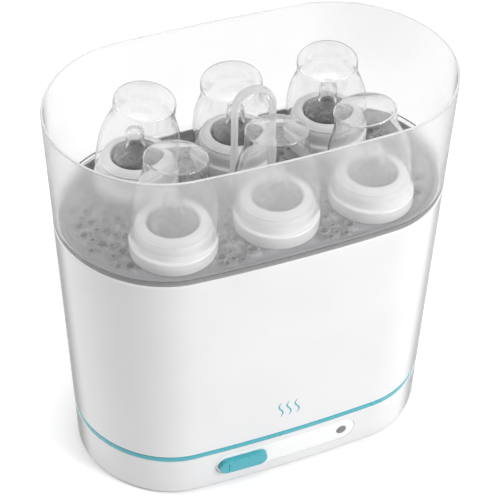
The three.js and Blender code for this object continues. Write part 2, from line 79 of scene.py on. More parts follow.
GROUND_GAP = node_mm("bottom_cover")[0][2]
WALL = 2.4  # thickness of the white shells
BASKET_FOOT = 42.0
ACCENT_LOW, ACCENT_HIGH = (corner[2] for corner in node_mm("accent_ring"))
SKIRT_TOP = ACCENT_LOW - 0.2
BASE_TOP = node_mm("base_housing")[1][2]
SEAM = node_mm("lower_basket")[1][2]
RIM = node_mm("upper_wall")[1][2]
PLATE_LOW, PLATE_HIGH = (corner[2] for corner in node_mm("heating_plate"))
PANEL_Z, BUTTON_X, LAMP_X = 22.0, -36.0, 46.0
SEAT_COLUMNS, SEAT_ROWS = (-73.0, 2.0, 74.0), (-38.0, 38.0)
SEATS = [(x, y) for y in SEAT_ROWS for x in SEAT_COLUMNS]
PLACES = [f"{row}_{column}" for row in ("front", "rear") for column in ("left", "middle", "right")]
# How far each loose cap's top leans sideways, seat by seat.
CAP_LEAN = [(5, 5), (2, 8), (-6, 7), (6, -7), (-6, -6), (-6, -8)]

# ---- Mesh helpers ----


def new_piece(name, points, faces, material, smooth_angle=35.0):
    """A mesh from points in millimetres; its faces are made to look outwards."""
    mesh = bpy.data.meshes.new(name)
    mesh.from_pydata([tuple(float(c) * MM for c in p) for p in points], [], faces)
    work = bmesh.new()
    work.from_mesh(mesh)
    bmesh.ops.remove_doubles(work, verts=work.verts, dist=1e-7)
    bmesh.ops.recalc_face_normals(work, faces=work.faces)
    work.to_mesh(mesh)
    work.free()
    finish_mesh(mesh, smooth_angle)
    mesh.materials.append(material)
    piece = bpy.data.objects.new(name, mesh)
    bpy.context.scene.collection.objects.link(piece)
    return piece


def finish_mesh(mesh, smooth_angle):
    mesh.shade_smooth()
    mesh.set_sharp_from_angle(angle=math.radians(smooth_angle))


def place(piece, body, slot, *nodes):
    """Hands a finished piece to its CAD body, as the stand-in for the named nodes."""
    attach(piece, body)
    if nodes:
        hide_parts(*nodes)
    return piece


def soften(points, radius, closed=True, steps=4):
    """Rounds the corners of a polyline, and holds its long stretches flat with a support point at each end.

    With closed=False the polyline's two ends stay where they are.
    """
    points = [np.array(p, float) for p in points]
    count = len(points)
    softened = []

    def hold(length):
        return min(1.5 * radius, 0.3 * length)

    for i, p in enumerate(points):
        if not closed and i in (0, count - 1):
            softened.append(p)
            continue
        before, after = points[i - 1] - p, points[(i + 1) % count] - p
        before_length, after_length = np.linalg.norm(before), np.linalg.norm(after)
        start = p + before / before_length * min(radius, 0.45 * before_length)
        end = p + after / after_length * min(radius, 0.45 * after_length)
        if before_length > 5 * radius:
            softened.append(start + before / before_length * hold(before_length))
        for k in range(steps + 1):
            t = k / steps
            softened.append((1 - t) ** 2 * start + 2 * t * (1 - t) * p + t * t * end)
        if after_length > 5 * radius:
            softened.append(end + after / after_length * hold(after_length))
    return [tuple(p) for p in softened]


def circle_angles(count):
    return np.linspace(0, 2 * math.pi, count, False)


def outline_stations():
    """Points round the outline: (which end or 0, place along a side, angle round the end)."""
    stations = []
    for side in (1, -1):
        for i in range(END_STEPS + 1):
            stations.append((side, side, side * math.pi * (i / END_STEPS - 0.5)))
        for i in range(1, SIDE_STEPS):
            stations.append((0, side * (1 - 2 * i / SIDE_STEPS), side * math.pi / 2))
    return np.array(stations)


STATIONS = outline_stations()


def outline(z, inset):
    """The body's outline at height z as (x, y) rows, counterclockwise from the right-hand end."""
    side, along, angle = STATIONS.T
    half_length = HALF_LENGTH + FLARE * z - inset
    half_depth = HALF_DEPTH + FLARE * z - inset
    end_length = half_depth * END_RATIO
    x = along * (half_length - end_length) + side * end_length * np.cos(angle)
    y = np.sin(angle) * (half_depth + BOW * (1 - (x / half_length) ** 2))
    return np.stack([x, y], axis=1)


def front_y(x, z):
    """The y of the body's front face."""
    half_length = HALF_LENGTH + FLARE * z
    return -(HALF_DEPTH + FLARE * z + BOW * (1 - (x / half_length) ** 2))


def grid_faces(rows, columns, close_rows=True, close_columns=True):
    faces = []
    for i in range(rows if close_rows else rows - 1):
        for j in range(columns if close_columns else columns - 1):
            a, b = i * columns + j, i * columns + (j + 1) % columns
            c, d = ((i + 1) % rows) * columns + (j + 1) % columns, ((i + 1) % rows) * columns + j
            faces.append((a, b, c, d))
    return faces


def outline_ring(name, profile, material, radius=0.5, smooth_angle=35.0):
    """Sweeps a closed profile of (inset, z) points round the outline."""
    profile = soften(profile, radius) if radius else profile
    loops = [np.column_stack([outline(z, inset), np.full(len(STATIONS), z)]) for inset, z in profile]
    points = np.stack(loops, axis=1).reshape(-1, 3)
    return new_piece(name, points, grid_faces(len(STATIONS), len(profile)), material, smooth_angle)


def turned(name, profile, material, segments=72, radius=0.4, smooth_angle=35.0):
    """Turns a profile of (radius, height) points round Z.

    The profile starts and ends on the axis, or closes on itself.
    """
    closed = profile[0][0] > 0
    if radius:
        profile = soften(profile, radius, closed)
    points, faces, rows = [], [], []
    for r, h in profile:
        if r < 1e-6:
            rows.append([len(points)] * segments)
            points.append((0, 0, h))
            continue
        rows.append(list(range(len(points), len(points) + segments)))
        points += [(r * math.cos(a), r * math.sin(a), h) for a in circle_angles(segments)]
    pairs = list(zip(rows, rows[1:] + rows[:1])) if closed else list(zip(rows, rows[1:]))
    for low, high in pairs:
        for j in range(segments):
            corners = [low[j], low[(j + 1) % segments], high[(j + 1) % segments], high[j]]
            face = list(dict.fromkeys(corners))
            if len(face) > 2:
                faces.append(face)
    return new_piece(name, points, faces, material, smooth_angle)


def rounded_rectangle(length, height, corner, steps=10):
    """Loop of (x, z) points that is symmetric above and below, starting at the right."""
    corner = min(corner, length / 2, height / 2)
    a, b = length / 2 - corner, height / 2 - corner
    loop = []
    for cx, cz, start in ((a, b, 0), (-a, b, 90), (-a, -b, 180), (a, -b, 270)):
        for k in range(steps + 1):
            angle = math.radians(start + 90 * k / steps)
            loop.append((cx + corner * math.cos(angle), cz + corner * math.sin(angle)))
    return loop


def lofted(name, length, height, corner, rows, surface, material, subdivide=12, smooth_angle=35.0):
    """A closed solid of stacked rounded rectangles.

    Rows are (inset, out), and surface maps (x, z, out) to a point.
    """
    loops = []
    for inset, out in rows:
        loop = rounded_rectangle(length - 2 * inset, height - 2 * inset, max(corner - inset, 0.05))
        count = len(loop)
        top, bottom = count // 4, 3 * count // 4
        loop = (
            loop[:top]
            + spread(loop[top - 1], loop[top], subdivide)
            + loop[top:bottom]
            + spread(loop[bottom - 1], loop[bottom], subdivide)
            + loop[bottom:]
        )
        loops.append([surface(x, z, out) for x, z in loop])
    count = len(loops[0])
    points = [p for loop in loops for p in loop]
    faces = grid_faces(len(loops), count, close_rows=False)
    last = (len(loops) - 1) * count
    half = count // 2
    for base in (0, last):
        for i in range(half - 1):
            faces.append((base + i, base + i + 1, base + count - 2 - i, base + count - 1 - i))
    return new_piece(name, points, faces, material, smooth_angle)


def spread(start, end, count):
    """The points that divide the stretch from start to end into count equal parts."""
    return [
        (start[0] + (end[0] - start[0]) * k / count, start[1] + (end[1] - start[1]) * k / count)
        for k in range(1, count)
    ]


def subtract(piece, *tools):
    """Cuts tools out of piece and removes them."""
    for tool in tools:
        modifier = piece.modifiers.new("cut", "BOOLEAN")
        modifier.operation = "DIFFERENCE"
        modifier.solver = "EXACT"
        modifier.object = tool
    graph = bpy.context.evaluated_depsgraph_get()
    result = bpy.data.meshes.new_from_object(piece.evaluated_get(graph))
    piece.modifiers.clear()
    old = piece.data
    result.name = old.name
    piece.data = result
    bpy.data.meshes.remove(old)
    for tool in tools:
        bpy.data.objects.remove(tool)
    work = bmesh.new()
    work.from_mesh(result)
    bmesh.ops.remove_doubles(work, verts=work.verts, dist=1e-6)
    bmesh.ops.dissolve_degenerate(work, edges=work.edges, dist=1e-6)
    work.to_mesh(result)
    work.free()
    finish_mesh(result, 35.0)
    return piece


def swept(name, path, sections, material, smooth_angle=35.0):
    """Joins a closed section at each point of the path; both ends are capped."""
    points = [p for centre, section in zip(path, sections) for p in section]
    count = len(sections[0])
    faces = grid_faces(len(sections), count, close_rows=False)
    faces.append(tuple(range(count)))
    faces.append(tuple(reversed(range((len(sections) - 1) * count, len(sections) * count))))
    return new_piece(name, points, faces, material, smooth_angle)


# ---- Materials ----


class Nodes:
    """A small builder for one material's node tree. An input is given by its name, or as i0, i1 and so on."""

    def __init__(self, name):
        self.material = bpy.data.materials.new(name)
        self.material.use_nodes = True
        self.tree = self.material.node_tree
        self.tree.nodes.clear()
        self.output = self.tree.nodes.new("ShaderNodeOutputMaterial")

    def add(self, kind, **inputs):
        node = self.tree.nodes.new("ShaderNode" + kind)
        for key, value in inputs.items():
            self.put(node, key, value)
        return node

    def put(self, node, key, value):
        numbered = key[0] == "i" and key[1:].isdigit()
        socket = node.inputs[int(key[1:]) if numbered else key.replace("_", " ")]
        if isinstance(value, bpy.types.NodeSocket):
            self.tree.links.new(value, socket)
        else:
            socket.default_value = value

    def math(self, operation, a, b=0.0, clamp=False):
        node = self.add("Math", i0=a, i1=b)
        node.operation = operation
        node.use_clamp = clamp
        return node.outputs[0]

    def scaled(self, value, factor, offset):
        """value * factor + offset."""
        result = self.math("MULTIPLY_ADD", value, factor)
        result.node.inputs[2].default_value = offset
        return result

    def mix_color(self, factor, a, b):
        node = self.tree.nodes.new("ShaderNodeMix")
        node.data_type = "RGBA"
        for socket, value in zip((node.inputs[0], node.inputs[6], node.inputs[7]), (factor, a, b)):
            if isinstance(value, bpy.types.NodeSocket):
                self.tree.links.new(value, socket)
            else:
                socket.default_value = value
        return node.outputs[2]

    def noise(self, scale, detail=3.0, stretch=(1, 1, 1), kind="Noise"):
        coordinates = self.add("TexCoord").outputs["Object"]
        mapping = self.add("Mapping", Vector=coordinates, Scale=stretch)
        texture = self.add("Tex" + kind, Vector=mapping.outputs[0], Scale=scale)
        if kind == "Noise":
            texture.inputs["Detail"].default_value = detail
        return texture.outputs[0]

    def axis(self, letter):
        """One object coordinate, in metres."""
        split = self.add("SeparateXYZ", Vector=self.add("TexCoord").outputs["Object"])
        return split.outputs[letter]

    def radial_noise(self):
        """Streaks that run outwards from the Z axis, with a slow sway."""
        split = self.add("SeparateXYZ", Vector=self.add("TexCoord").outputs["Object"]).outputs
        angle = self.math("ARCTAN2", split["Y"], split["X"])
        squares = self.math("ADD", self.math("POWER", split["X"], 2.0), self.math("POWER", split["Y"], 2.0))
        radius = self.math("SQRT", squares)
        turns = self.math("MULTIPLY", angle, 5.0)
        place = self.add("CombineXYZ", X=turns, Y=self.math("MULTIPLY", radius, 160.0))
        self.put(place, "Z", self.math("MULTIPLY", split["Z"], 90.0))
        texture = self.add("TexNoise", Vector=place.outputs[0], Scale=1.0, Distortion=1.6)
        texture.inputs["Detail"].default_value = 3.0
        return texture.outputs[0]

    def ramp(self, value, start, end, low=0.0, high=1.0):
        """A smooth step from low to high while value runs from start to end."""
        node = self.add("MapRange", Value=value, From_Min=start, From_Max=end, To_Min=low, To_Max=high)
        node.interpolation_type = "SMOOTHSTEP"
        return node.outputs[0]

    def passing_rays(self):
        """1 for shadow and diffuse rays, which cross clear pieces in a straight line."""
        path = self.add("LightPath")
        return self.math("MAXIMUM", path.outputs["Is Shadow Ray"], path.outputs["Is Diffuse Ray"])

    def bump(self, height, strength, distance):
        return self.add("Bump", Height=height, Strength=strength, Distance=distance).outputs[0]

    def mix_shader(self, factor, a, b):
        return self.add("MixShader", i0=factor, i1=a, i2=b).outputs[0]

    def bsdf(self, kind, **inputs):
        return self.add("Bsdf" + kind, **inputs).outputs[0]

    def done(self, shader):
        self.tree.links.new(shader, self.output.inputs["Surface"])
        return self.material


def rgba(red, green, blue):
    """A colour given in ordinary 0 to 255 screen values."""
    linear = [((v / 255 + 0.055) / 1.055) ** 2.4 if v > 10 else v / 255 / 12.92 for v in (red, green, blue)]
    return (*linear, 1.0)


def grey(value):
    return rgba(value, value, value)


def darker(color, share):
    return tuple(c * share for c in color[:3]) + (1.0,)


def moulded(
    name, color, roughness, grain=0.00004, grain_scale=900.0, coat=0.0, sheen=0.0, wear=0.04, rim=0.0
):
    """Moulded plastic: faint flow mottling, a fine grain, rubbed edges and uneven gloss.

    wear lightens the edges, and rim darkens what is seen edge-on: painted shade, a dark outline.
    """
    n = Nodes(name)
    flow = n.noise(14.0, 4.0)
    fine = n.noise(grain_scale, 2.0)
    light = tuple(min(1.0, c * 1.04 + 0.01) for c in color[:3]) + (1.0,)
    dark = darker(color, 0.95)
    base = n.mix_color(flow, dark, light)
    edge = n.add("NewGeometry").outputs["Pointiness"]
    rubbed = n.math("MULTIPLY", n.math("SUBTRACT", edge, 0.52, True), 12.0, True)
    base = n.mix_color(n.math("MULTIPLY", rubbed, wear), base, (0.9, 0.9, 0.9, 1.0))
    # Painted shade: the base colour turns dark where the surface is seen edge-on, for a dark outline.
    if rim:
        facing = n.add("LayerWeight", Blend=0.5).outputs["Facing"]
        base = n.mix_color(n.ramp(facing, 0.68, 0.88, 0.0, rim), base, darker(color, 0.12))
    smudge = n.scaled(n.noise(38.0, 5.0), 0.14, roughness - 0.07)
    shader = n.add(
        "BsdfPrincipled",
        Base_Color=base,
        Roughness=smudge,
        Normal=n.bump(fine, 0.35, grain),
        Coat_Weight=coat,
        Coat_Roughness=0.08,
        Sheen_Weight=sheen,
    )
    shader.inputs["IOR"].default_value = 1.49
    return n.done(shader.outputs[0])


def brushed(name, color, roughness, kind="rings", scale=380.0):
    """Metal with turned or drawn brush lines."""
    n = Nodes(name)
    coordinates = n.add("TexCoord").outputs["Object"]
    if kind == "rings":
        wave = n.add("TexWave", Vector=coordinates, Scale=scale, Distortion=1.5, Detail=3.0)
        wave.wave_type = "RINGS"
        wave.rings_direction = "Z"
        lines = wave.outputs["Fac"] if "Fac" in wave.outputs else wave.outputs[1]
    else:
        lines = n.noise(scale, 3.0, (1, 40, 40))
    stain = n.noise(26.0, 5.0)
    rough = n.scaled(stain, 0.18, roughness - 0.05)
    shader = n.add(
        "BsdfPrincipled",
        Base_Color=n.mix_color(stain, color, darker(color, 0.8)),
        Metallic=1.0,
        Roughness=rough,
        Normal=n.bump(lines, 0.25, 0.00002),
    )
    return n.done(shader.outputs[0])


def frosted(name):
    """Frosted wall: it scatters what is seen through it, more so with height, under a thin white veil.

    The veil stays under a quarter of the surface's weight, except along its edges. Above that the
    renderer's denoiser takes the wall itself for the subject, smears what stands behind it and leaves a
    line at the change. For the same reason the scatter's roughness stays under 0.27.
    """
    n = Nodes(name)
    facing = n.add("LayerWeight", Blend=0.5).outputs["Facing"]
    z = n.axis("Z")
    height = n.ramp(z, SEAM * MM, RIM * MM)
    veil = n.scaled(n.math("POWER", height, 0.9), 0.15, 0.06)
    # Where the wall is seen edge-on the veil thickens and the milk's tone below turns grey: painted shade, a
    # dark outline along the wall's edges.
    veil = n.math("ADD", veil, n.math("MULTIPLY", n.math("POWER", facing, 3.0), 0.01))
    veil = n.math("ADD", veil, n.math("MULTIPLY", n.noise(9.0, 4.0), 0.008))
    veil = n.math("ADD", veil, n.ramp(facing, 0.8, 0.97, 0.0, 0.5))
    veil = n.math("ADD", veil, n.ramp(z, (RIM - 0.9) * MM, (RIM - 0.25) * MM, 0.0, 0.7))
    veil = n.math("ADD", veil, n.ramp(z, (SEAM + 2.2) * MM, SEAM * MM, 0.0, 0.3), True)
    # Painted shade: the milk turns grey where the wall is seen edge-on.
    tone = n.mix_color(n.ramp(facing, 0.72, 0.96), grey(251), rgba(120, 121, 123))
    milk = n.mix_shader(0.5, n.bsdf("Diffuse", Color=tone), n.bsdf("Translucent", Color=tone))
    passing = n.passing_rays()
    straight = n.bsdf("Transparent", Color=grey(250))
    scatter = n.scaled(n.math("POWER", height, 1.5), 0.16, 0.03)
    bent = n.bsdf("Refraction", Color=grey(250), Roughness=scatter, IOR=PLASTIC_IOR)
    body = n.mix_shader(veil, n.mix_shader(passing, bent, straight), milk)
    grain = n.bump(n.noise(420.0, 2.0), 0.15, 0.00002)
    gloss = n.bsdf("Glossy", Roughness=0.25, Normal=grain)
    fresnel = n.add("Fresnel", IOR=PLASTIC_IOR).outputs[0]
    shine = n.math("MULTIPLY", n.math("MULTIPLY", fresnel, 0.7), n.math("SUBTRACT", 1.0, passing))
    return n.done(n.mix_shader(shine, body, gloss))


def clear(
    name, tint, roughness, milk=0.0, painted_outline_tone=(165, 165, 166), passing_tone=235, streaks=0.0, top_haze=0.0
):
    """Clear plastic or silicone: it refracts for the camera, and light and shadow rays go straight on.

    streaks adds wavy radial flow marks on the shoulder, and top_haze a faintly frosted top disc. The edge
    tone is painted shade: the glass greys where it is seen edge-on, for a dark outline.
    """
    n = Nodes(name)
    facing = n.add("LayerWeight", Blend=0.5).outputs["Facing"]
    normal = n.bump(n.noise(60.0, 2.0), 0.05, 0.0002)
    if streaks:
        strength = n.ramp(n.axis("Z"), 0.033, 0.030, 0.0, streaks)
        marks = n.add("Bump", Height=n.radial_noise(), Strength=strength, Distance=0.0006, Normal=normal)
        normal = marks.outputs[0]
    # Painted shade: the glass colour greys where it is seen edge-on, for a dark outline.
    color = n.mix_color(n.ramp(facing, 0.78, 1.0), tint, rgba(*painted_outline_tone))
    glass = n.bsdf("Glass", Color=color, Roughness=roughness, IOR=PLASTIC_IOR, Normal=normal)
    haze = n.scaled(n.noise(22.0, 4.0), milk, milk * 0.5)
    if top_haze:
        grain = n.scaled(n.noise(900.0, 3.0), top_haze, top_haze * 0.5)
        haze = n.math("ADD", haze, n.math("MULTIPLY", grain, n.ramp(n.axis("Z"), 0.0566, 0.0576)))
    tone = grey(249)
    white = n.mix_shader(0.5, n.bsdf("Translucent", Color=tone), n.bsdf("Diffuse", Color=tone))
    body = n.mix_shader(haze, glass, white)
    side_on = grey(passing_tone)
    face_on = grey((passing_tone + 2 * 255) / 3)
    straight = n.bsdf("Transparent", Color=n.mix_color(facing, face_on, side_on))
    return n.done(n.mix_shader(n.passing_rays(), body, straight))


PLASTIC_IOR = 1.45
WHITE = rgba(234, 234, 235)
MATERIALS = (
    # The rim amounts on white_shell and ring_white paint dark shade where these are seen edge-on.
    moulded("white_shell", WHITE, 0.34, 0.00002, 500.0, coat=0.12, rim=0.8),
    moulded("white_panel", grey(250), 0.3, 0.00002, 500.0, coat=0.2),
    moulded("white_inner", rgba(232, 232, 233), 0.4),
    frosted("frosted_wall"),
    moulded("tray_grey", rgba(128, 128, 131), 0.38, 0.00004, 700.0),
    moulded("teal_accent", rgba(64, 174, 188), 0.28, coat=0.2),
    moulded("ring_white", grey(244), 0.33, coat=0.15, rim=0.25),
    # The grey edge tones of the clear materials paint a dark outline where they are seen edge-on.
    clear("clear_cap", grey(253), 0.0, top_haze=0.1),
    clear("silicone", grey(253), 0.0, 0.03, (150, 150, 151), 222, streaks=0.9),
    clear("tongs_plastic", grey(246), 0.15, 0.6, (150, 150, 152)),
    moulded("lamp_grey", rgba(124, 124, 125), 0.3, wear=0.0),
    brushed("stainless", rgba(205, 206, 207), 0.24),
    brushed("steel_wire", rgba(196, 197, 199), 0.28, "drawn", 60.0),
    brushed("aluminium", rgba(190, 191, 193), 0.4, "drawn", 40.0),
    moulded("black_plastic", rgba(32, 33, 35), 0.5, 0.00008, 1200.0),
    moulded("foot_rubber", rgba(92, 94, 97), 0.8, 0.0001, 1500.0, sheen=0.3),
    moulded("seal_rubber", rgba(214, 215, 212), 0.65, 0.00006, 900.0),
    moulded("board_green", rgba(31, 107, 69), 0.45, 0.00005, 400.0),
    clear("led_clear", rgba(240, 242, 244), 0.05),
    brushed("brass_pin", rgba(203, 170, 98), 0.25, "drawn", 60.0),
    moulded("wire_brown", rgba(107, 68, 41), 0.5),
    moulded("wire_blue", rgba(47, 98, 168), 0.5),
    moulded("wire_green", rgba(63, 143, 60), 0.5),
)
# Blender adds .001 to a name that the frame's own materials already have.
MAT = {material.name.split(".")[0]: material for material in MATERIALS}

# ---- Base ----


def on_front(x, z, out):
    """A point of the bowed front face, moved outwards by out."""
    return (x, front_y(x, z) - out, z)


def around(cx, cz, surface):
    """The same surface with (cx, cz) as its origin."""
    return lambda x, z, out: surface(x + cx, z + cz, out)


def build_base():
    housing = outline_ring(
        "base_skirt",
        [
            (0.7, GROUND_GAP),
            (0, GROUND_GAP + 1.1),
            (0, SKIRT_TOP),
            (3, SKIRT_TOP),
            (3, BASE_TOP),
            (4.4, BASE_TOP),
            (4.4, SKIRT_TOP - 0.8),
            (2.6, SKIRT_TOP - 2.6),
            (2.6, GROUND_GAP),
        ],
        MAT["white_shell"],
        0.6,
    )
    on_panel = around(0, PANEL_Z, on_front)
    panel_hole = lofted("panel_hole", 115.0, 21.0, 10.5, [(0, -9), (0, 9)], on_panel, MAT["white_shell"])
    inlet_x, _, inlet_z = middle_mm("mains_inlet")
    inlet_face = node_mm("mains_inlet")[1][1]

    def behind(x, z, out):
        return (x + inlet_x, inlet_face + out, z + inlet_z)

    inlet_hole = lofted("inlet_hole", 27.6, 19.6, 2.0, [(0, -12), (0, 8)], behind, MAT["white_shell"], 1)
    subtract(housing, panel_hole, inlet_hole)
    place(housing, "base", "white_shell", "base_housing")

    accent = outline_ring(
        "accent_band",
        [
            (0.4, ACCENT_LOW),
            (0.25, (ACCENT_LOW + ACCENT_HIGH) / 2),
            (0.4, ACCENT_HIGH),
            (2.8, ACCENT_HIGH),
            (2.8, ACCENT_LOW),
        ],
        MAT["teal_accent"],
        0.25,
    )
    place(accent, "base", "teal_accent", "accent_ring")
    build_basin()
    build_panel()
    build_spring()
    build_inlet(behind)
    build_underside()


def build_basin():
    floor, low, wall_limit, hole_radius = 33.3, 31.3, 20.0, 50.2
    wall = [(4.7, low + 1.2), (4.7, BASE_TOP), (5.9, BASE_TOP), (5.9, floor + 0.6), (6.5, floor), (58, floor)]
    under = [(58, low), (6.6, low)]
    profile = soften(wall + under, 0.8)
    # The floor ends in a round hole for the heating plate: an inset past wall_limit stands for its edge.
    loops = []
    for inset, z in profile:
        ring = outline(z, min(inset, wall_limit))
        if inset > wall_limit:
            ring = hole_radius * ring / np.linalg.norm(ring, axis=1)[:, None]
        loops.append(np.column_stack([ring, np.full(len(ring), z)]))
    points = np.stack(loops, axis=1).reshape(-1, 3)
    basin = new_piece("basin_tub", points, grid_faces(len(STATIONS), len(profile)), MAT["white_inner"])
    place(basin, "base", "white_shell", "water_basin")
    pilot, boss_radius, boss_foot = 1.7, 4, 8
    boss_profile = [(pilot, boss_foot), (boss_radius, boss_foot), (boss_radius, low), (pilot, low)]
    boss_places = [(x, y) for x in (-95.0, 95.0) for y in (-40.0, 40.0)]
    for number, (x, y) in enumerate(boss_places, 1):
        boss = turned(f"basin_boss_{number}", boss_profile, MAT["white_inner"], 40, 0.3)
        boss.location = (x * MM, y * MM, 0)
        place(boss, "base", "white_shell")

    under = PLATE_LOW
    plate = turned(
        "heater_dish",
        [
            (0, under),
            (43.6, under),
            (46.2, PLATE_HIGH - 1.2),
            (56.3, PLATE_HIGH - 1.2),
            (56.3, PLATE_HIGH),
            (45.4, PLATE_HIGH),
            (43.0, under + 1.2),
            (30, under + 1.2),
            (29, under + 1.7),
            (27, under + 1.7),
            (26, under + 1.2),
            (0, under + 1.2),
        ],
        MAT["stainless"],
        128,
        0.6,
    )
    place(plate, "base", "stainless", "heating_plate")


def build_panel():
    """The control panel with its lamp and its button. Rows are (inset, height above the body's face)."""
    through = [(0, -6), (0, 6)]
    on_button = around(BUTTON_X, PANEL_Z, on_front)
    on_lamp = around(LAMP_X, PANEL_Z, on_front)
    plate_rows = [(0, -2.6), (0, -0.35), (0.12, -0.12), (0.35, 0), (2.5, 0.0), (6, 0.0), (9.6, 0.0)]
    on_panel = around(0, PANEL_Z, on_front)
    panel = lofted("control_plate", 114.3, 20.3, 10.15, plate_rows, on_panel, MAT["white_panel"], 24)
    button_hole = lofted("button_hole", 38.8, 14.0, 7.0, through, on_button, MAT["white_panel"])
    lamp_hole = lofted("lamp_hole", 8.5, 8.5, 4.25, through, on_lamp, MAT["white_panel"], 1)
    subtract(panel, button_hole, lamp_hole)
    place(panel, "base", "white_shell", "control_panel")

    lens_rows = [(0, -3.5), (0, -0.3), (0.15, -0.1), (0.5, 0.05), (2.0, 0.12), (3.9, 0.15)]
    lamp = lofted("indicator_lamp", 8.1, 8.1, 4.05, lens_rows, on_lamp, MAT["lamp_grey"], 1)
    place(lamp, "base", "lamp_grey", "indicator_lens")

    proud = 4.0
    flange = [(-1.6, -6.2), (-1.6, -4.9), (0, -4.9)]
    shoulder = [(0, 3.1), (0.12, 3.5), (0.4, 3.85), (0.8, 3.98)]
    face = [(1.3, proud), (3.6, proud), (6.2, proud)]
    button = lofted("power_key", 38.0, 13.0, 6.5, flange + shoulder + face, on_button, MAT["teal_accent"], 18)
    on_groove = around(BUTTON_X - 12.0, PANEL_Z, on_front)
    groove = lofted("key_groove", 0.5, 9.0, 0.2, [(0, 3.5), (0, 6)], on_groove, MAT["teal_accent"], 1)
    subtract(button, groove)
    place(button, "power_button", "teal_accent", "power_button")


def build_spring():
    """The spring behind the button; the whole coil goes with the button."""
    low, high = node_mm("button_spring")
    front, back = low[1], high[1]
    coil_radius, wire_radius, turns, steps_per_turn, wire_sides = 3.6, 0.25, 2, 28, 10
    first, last = front + wire_radius, back - wire_radius
    rise = (last - first) / (2 * math.pi * turns)
    around_wire = np.arange(wire_sides) * 2 * math.pi / wire_sides
    path, sections = [], []
    for i in range(turns * steps_per_turn + 1):
        angle = 2 * math.pi * i / steps_per_turn
        outwards = Vector((math.cos(angle), 0, math.sin(angle)))
        along = Vector((-coil_radius * math.sin(angle), rise, coil_radius * math.cos(angle))).normalized()
        across = along.cross(outwards)
        centre = Vector((BUTTON_X, first + rise * angle, PANEL_Z)) + coil_radius * outwards
        path.append(centre)
        rim = [math.cos(a) * outwards + math.sin(a) * across for a in around_wire]
        sections.append([tuple(centre + wire_radius * arm) for arm in rim])
    coil = swept("spring_coil", path, sections, MAT["steel_wire"], 60.0)
    place(coil, "power_button", "stainless", "button_spring")
    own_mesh(coil)


def build_inlet(behind):
    """The mains socket with its three pins. behind maps (x, z, out) from the socket's face to a point."""
    rows = [(0.4, -21), (0, -20.6), (0, -0.5), (0.4, 0)]
    block = lofted("inlet_shroud", 27.0, 19.0, 2.6, rows, behind, MAT["black_plastic"], 1)
    socket = lofted("inlet_socket", 23.0, 15.0, 2.0, [(0, -15), (0, 3)], behind, MAT["black_plastic"], 1)
    subtract(block, socket)
    place(block, "base", "black_plastic", "mains_inlet")
    pin_rows = [(0, -15.5), (0, -4.6), (0.3, -4.1), (0.6, -4.0)]
    for name, dx, dz in (("live", -7, -2), ("neutral", 7, -2), ("earth", 0, 3)):
        spot = around(dx, dz, behind)
        pin = lofted(f"socket_pin_{name}", 2.0, 4.0, 0.5, pin_rows, spot, MAT["brass_pin"], 1)
        place(pin, "base", "brass_pin", f"inlet_pin_{name}")


def build_underside():
    for number in range(1, 5):
        foot = turned(
            f"rubber_foot_{number}",
            [(0, 0.35), (5.5, 0.35), (6.2, 0), (8.6, 0), (9, 0.5), (9, GROUND_GAP), (0, GROUND_GAP)],
            MAT["foot_rubber"],
            56,
            0.2,
        )
        x, y, _ = middle_mm(f"foot_{number}")
        foot.location = (x * MM, y * MM, 0)
        place(foot, "base", "foot_rubber", f"foot_{number}")
        z = node_mm(f"cover_screw_{number}")[0][2]
        head = [(0, z + 0.6), (0.9, z + 0.55), (1.1, z), (2.4, z), (3.15, z + 0.6), (3.15, z + 0.9)]
        shank = [(1.4, z + 0.9), (1.4, z + 15), (0, z + 16.4)]
        screw = turned(f"screw_{number}", head + shank, MAT["steel_wire"], 40, 0.15)
        x, y, _ = middle_mm(f"cover_screw_{number}")
        screw.location = (x * MM, y * MM, 0)
        place(screw, "base", "stainless", f"cover_screw_{number}")


# ---- Basket, rack, tray and upper wall ----


def build_basket():
    rack_top, rib_foot, vent_ring = 58.0, 34, 24
    basket = outline_ring(
        "basket_shell",
        [
            (0.5, BASKET_FOOT),
            (0, BASKET_FOOT + 0.8),
            (0, SEAM - 1.1),
            (0.35, SEAM - 0.35),
            (1.0, SEAM),
            (WALL, SEAM),
            (WALL, SEAM - 4),
            (9.5, SEAM - 4),
            (9.5, SEAM - 5.5),
            (WALL, SEAM - 13),
            (WALL, rack_top),
            (8.4, rack_top),
            (8.4, rib_foot),
            (6.3, rib_foot),
            (6.3, 54),
            (WALL, 50),
            (WALL, BASKET_FOOT),
        ],
        MAT["white_shell"],
        0.45,
    )
    place(basket, "lower_basket", "white_shell", "lower_basket")
    holes = []
    for x, y in SEATS:
        holes.append((x, y, 13.0, 40))
        for angle in np.arange(4) * math.pi / 2 + math.pi / 4:
            holes.append((x + vent_ring * math.cos(angle), y + vent_ring * math.sin(angle), 5.0, 20))
    rack = perforated("rack_plate", rack_top, 2.0, 4.2, holes, MAT["white_inner"], 0.0)
    place(rack, "lower_basket", "white_shell", "bottle_rack")


def joined(rows):
    """Faces between neighbouring closed rows of point numbers."""
    faces = []
    for upper, lower in zip(rows, rows[1:]):
        for i in range(len(upper)):
            j = (i + 1) % len(upper)
            faces.append((upper[i], upper[j], lower[j], lower[i]))
    return faces


